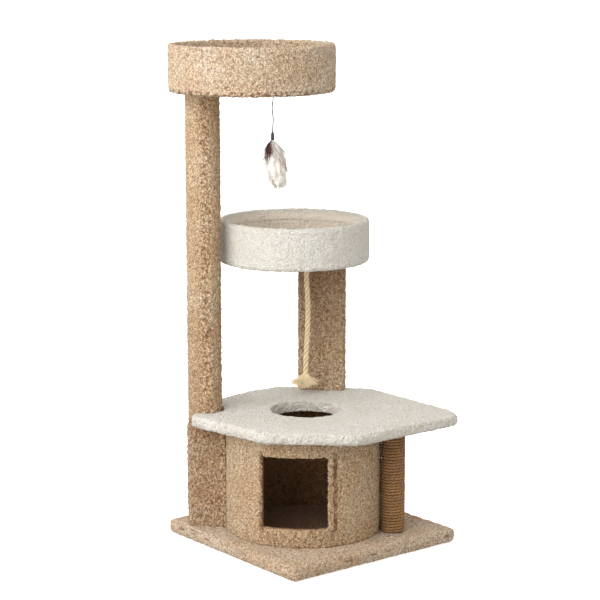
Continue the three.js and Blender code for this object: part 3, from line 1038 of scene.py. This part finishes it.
def makeCarpets():
    beige = carpetMaterial("beigeCutPile", beigeCarpet)
    tan = carpetMaterial("tanCutPile", tanCarpet)
    cream = carpetMaterial("creamPlush", creamPlush)
    # painted shade: the house's lining is a shaded copy of the beige carpet
    lining = carpetMaterial("shadedLiningCutPile", shadedLining)
    paleLining = carpetMaterial("paleLiningCutPile", trayLining)
    carpetPiece("baseCarpet", "base_carpet", beigeCarpet, beige, baseShade)
    house = carpetMaterial("houseCutPile", houseCarpet)
    carpetPiece("houseCarpet", "house_outer_carpet", houseCarpet, house, houseShade)
    carpetPiece("houseLining", "house_lining", shadedLining, lining)
    carpetPiece("shelfPlush", "shelf_carpet", creamPlush, cream, plushShade)
    carpetPiece("shelfUnderPlush", "shelf_under_carpet", creamPlush, cream)
    carpetPiece("lowerPostCarpet", "lower_post_carpet", tanCarpet, tan, lowerPostShade)
    tallTan = carpetMaterial("tallPostCutPile", tallPostLook)
    carpetPiece("tallPostCarpet", "tall_post_carpet", tallPostLook, tallTan, tallPostShade)
    carpetPiece("middlePostCarpet", "middle_post_carpet", tanCarpet, tan, middlePostShade)
    carpetPiece("topTrayCarpet", "top_tray_carpet", topTrayLook, beige, trayShade)
    carpetPiece("topTrayLining", "top_tray_lining", beigeCarpet, beige)
    trayPlush = carpetMaterial("trayPlush", middleTrayLook)
    carpetPiece("middleTrayPlush", "middle_tray_carpet", middleTrayLook, trayPlush, middleTrayShade)
    carpetPiece("middleTrayLining", "middle_tray_lining", trayLining, paleLining)


def dressKeptNodes():
    # boards, cores, walls, screws and eyes keep the frame's own shapes
    upright = woodMaterial("sawnSoftwoodUpright", (0.42, 0.26, 0.12), (0.66, 0.46, 0.25), (1, 1, 0.08))
    lying = woodMaterial("sawnPlywoodFlat", (0.45, 0.29, 0.14), (0.68, 0.49, 0.28), (0.08, 1, 1))
    brownBoard = woodMaterial("bentFibreboard", (0.16, 0.08, 0.035), (0.30, 0.18, 0.09), (1, 1, 1))
    steel = steelMaterial()
    finishes = {"timber": lying, "fibreboard": brownBoard, "steel": steel}
    for name, part in frame["nodes"].items():
        slotName = slotOf(name)
        if slotName not in finishes:
            continue
        material = finishes[slotName]
        if name.endswith("_core") or name == "post_dowel":
            material = upright
        part.data.materials.clear()
        part.data.materials.append(material)
    print("kept nodes dressed")


# light, floor and background
studio = {
    "fill": (1.0, 0.975, 0.94),
    "lightFromAbove": 1.24,
    "lightFromBelow": 0.78,
    "background": 1.1,
    "floorGlow": 0.6,
    "floorSize": 120,
    "floorDrop": 0.0005,
    "floorColour": (0.93, 0.93, 0.93),
    "keyPower": 90,
    "keySize": 2.8,
    "keyLeft": 1.5,
    "keyFront": 1.6,
    "keyUp": 1.8,
    "keyAim": 1.1,
}


def addStudio():
    scene = bpy.context.scene
    scene.view_settings.view_transform = "Standard"
    world = bpy.data.worlds.new("studio")
    world.use_nodes = True
    scene.world = world
    world.node_tree.nodes.clear()
    direction = addNode(world, "ShaderNodeTexCoord").outputs["Generated"]
    height = addNode(world, "ShaderNodeSeparateXYZ", {0: direction}).outputs[2]
    strength = spread(world, height, -1, 1, studio["lightFromBelow"], studio["lightFromAbove"])
    light = addNode(world, "ShaderNodeBackground", {0: rgba(studio["fill"]), 1: strength})
    seen = addNode(world, "ShaderNodeBackground", {0: (1, 1, 1, 1), 1: studio["background"]})
    cameraRay = addNode(world, "ShaderNodeLightPath").outputs["Is Camera Ray"]
    either = addNode(world, "ShaderNodeMixShader", {0: cameraRay, 1: light.outputs[0], 2: seen.outputs[0]})
    addNode(world, "ShaderNodeOutputWorld", {0: either.outputs[0]})
    half = studio["floorSize"] / 2
    corners = [(-half, -half, 0), (half, -half, 0), (half, half, 0), (-half, half, 0)]
    floor = meshPiece("floor", corners, [(0, 1, 2, 3)])
    floor.location.z = -studio["floorDrop"]
    material = newMaterial("paleFloor", 0.9)
    shader = material.node_tree.nodes["Principled BSDF"]
    shader.inputs["Base Color"].default_value = rgba(studio["floorColour"])
    shader.inputs["Emission Color"].default_value = (1, 1, 1, 1)
    shader.inputs["Emission Strength"].default_value = studio["floorGlow"]
    floor.data.materials.append(material)
    floor.visible_diffuse = False
    floor.visible_glossy = False
    azimuth = math.radians(camera["azimuth"])
    towards = Vector((math.sin(azimuth), -math.cos(azimuth), 0))
    left = Vector((-math.cos(azimuth), -math.sin(azimuth), 0))
    key = bpy.data.objects.new("key", bpy.data.lights.new("key", "AREA"))
    link(key)
    key.data.energy = studio["keyPower"]
    key.data.size = studio["keySize"]
    key.location = towards * studio["keyFront"] + left * studio["keyLeft"] + Vector((0, 0, studio["keyUp"]))
    aim = Vector((0, 0, studio["keyAim"])) - key.location
    key.rotation_euler = aim.to_track_quat("-Z", "Y").to_euler()
    print("studio lit")


strawMaterial = yarnMaterial("strawFibre", hangingRope["dark"], hangingRope["light"], 500, (1, 1, 0.5), 0.8,
                             0.0004, ("hollow", 0.55, hangingRope["hollow"]))
frayMaterial = yarnMaterial("frayedStraw", tassel["dark"], tassel["light"], 420, (1, 1, 0.5), 0.8,
                            0.0003, ("hollow", 0.6, tassel["hollow"]))

addCamera()
cordPiece, cordLine = makeToyCord()
ropePiece, ropeLine = makeRope()
print("cords made")
ferrule = makeFerrule()
makeToyFur()
print("fur toy made")
frayedEnd = makeTassel()
blackCordMaterial = yarnMaterial("blackElasticLoop", loops["dark"], loops["light"], 900, (1, 1, 1), 0.6)
ringPiece("toyLoop", "toy_loop", loops["toyWire"], blackCordMaterial, "toy_link")
ringPiece("ropeLoop", "rope_loop", loops["ropeWire"], strawMaterial, "rope_link", loops["ropeTwist"])
makeSisalWinding()
print("rope work made")
makeCarpets()
dressKeptNodes()
addStudio()
